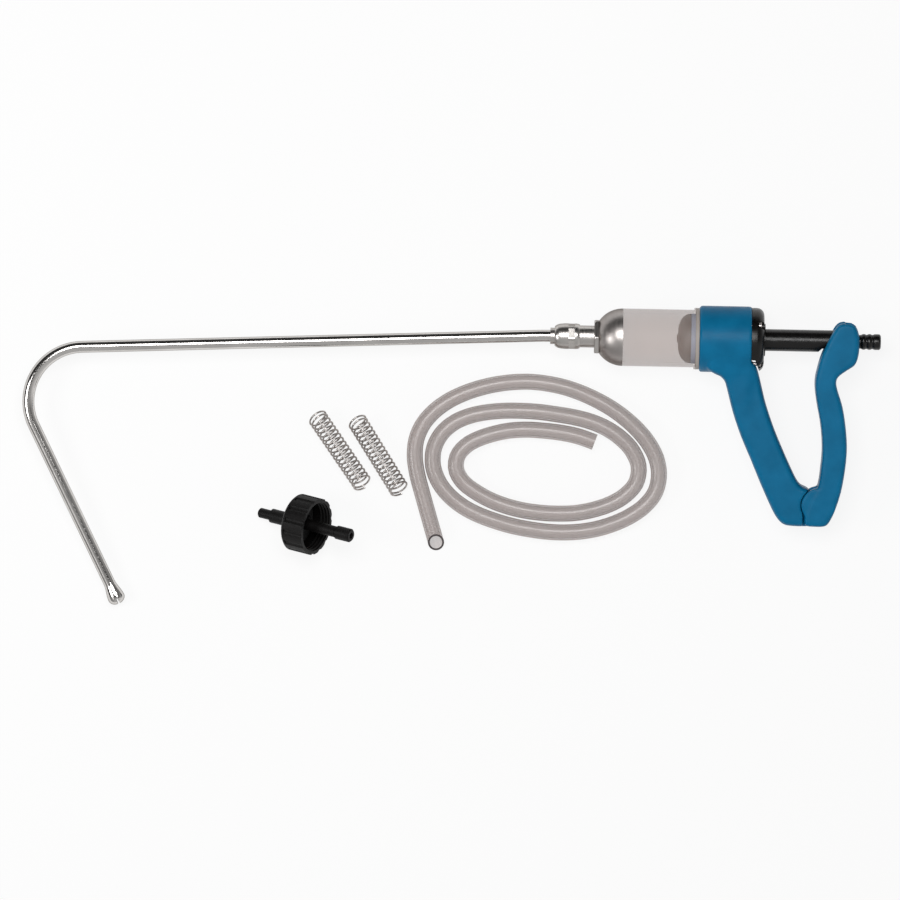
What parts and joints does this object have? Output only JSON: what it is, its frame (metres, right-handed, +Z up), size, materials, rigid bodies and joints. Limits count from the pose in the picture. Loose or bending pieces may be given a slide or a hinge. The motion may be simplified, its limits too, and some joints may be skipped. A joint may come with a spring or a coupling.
{
  "type": "livestock drencher",
  "caption": "Hand-pumped livestock drencher: pistol grip and squeeze lever drive a plunger in a clear barrel that doses through a long hooked tube, with its feed hose and bottle cap.",
  "frame": {"origin": "on the table under the middle of the gun's box; the gun lies on its side", "axes": "+X along the barrel towards the hose tail, -Y from the barrel towards the grip, +Z up from the table"},
  "size_m": [0.6857, 0.2485, 0.0532],
  "materials": {
    "blue_plastic": "moulded, soft gloss",
    "clear_plastic": "clear, faintly warm",
    "clear_vinyl": "clear vinyl",
    "satin_metal": "satin",
    "chrome": "polished plate",
    "steel": "bright",
    "black_plastic": "moulded black",
    "dark_plastic": "moulded grey",
    "white_plastic": "moulded white",
    "ring_rubber": "pale silicone",
    "black_rubber": "black"
  },
  "bodies": {
    "gun": {"handle_body": "blue_plastic", "barrel": "clear_plastic", "barrel_front_seal": "black_rubber", "barrel_rear_seal": "black_rubber", "nose_dome": "satin_metal", "outlet_stem": "chrome", "lock_nut": "chrome", "outlet_seat": "white_plastic", "outlet_valve_spring": "steel", "union_nut": "chrome", "rear_cap": "black_plastic", "rear_cap_screws": "steel", "rod_seal": "black_rubber", "return_spring": "steel", "hose": "clear_vinyl", "hose_spring_1": "steel", "hose_spring_2": "steel", "draw_off_cap": "black_plastic", "draw_off_fitting": "black_plastic", "cap_gasket": "black_rubber"},
    "lever": {"trigger_lever": "blue_plastic", "pivot_pin": "steel"},
    "plunger": {"plunger_rod": "black_plastic", "piston": "dark_plastic", "piston_ring": "ring_rubber", "inlet_valve_spring": "steel", "hose_barb": "black_plastic"},
    "inlet_check": {"inlet_valve": "dark_plastic"},
    "outlet_check": {"outlet_valve": "white_plastic"},
    "nozzle": {"nozzle_collar": "chrome", "nozzle_tube": "chrome", "nozzle_tip": "chrome"}
  },
  "joints": [
    {"name": "lever_hinge", "type": "hinge", "parent": "gun", "child": "lever", "pos_m": [0.2954, -0.03248, 0.01862], "axis": [0, -0.0601, 0.9982], "range_deg": [0, 20.7], "stiffness_Nm_per_rad": 1.5, "springref_deg": -14.32, "deforming": ["return_spring"]},
    {"name": "plunger_slide", "type": "slide", "parent": "gun", "child": "plunger", "axis": [-1, 0, 0], "range_m": [0, 0.048]},
    {"name": "inlet_valve_slide", "type": "slide", "parent": "plunger", "child": "inlet_check", "axis": [-1, 0, 0], "range_m": [0, 0.0025], "stiffness_N_per_m": 150, "springref_m": -0.003, "deforming": ["inlet_valve_spring"]},
    {"name": "outlet_valve_slide", "type": "slide", "parent": "gun", "child": "outlet_check", "axis": [-1, 0, 0], "range_m": [0, 0.0025], "stiffness_N_per_m": 150, "springref_m": -0.003, "deforming": ["outlet_valve_spring"]},
    {"name": "nozzle_swivel", "type": "hinge", "parent": "gun", "child": "nozzle", "pos_m": [0.0874, 0.09829, 0.0265], "axis": [1, 0, 0], "continuous": true}
  ],
  "couplings": [
    {"joint": "plunger_slide", "follows": "lever_hinge", "m_per_rad": 0.13254}
  ]
}
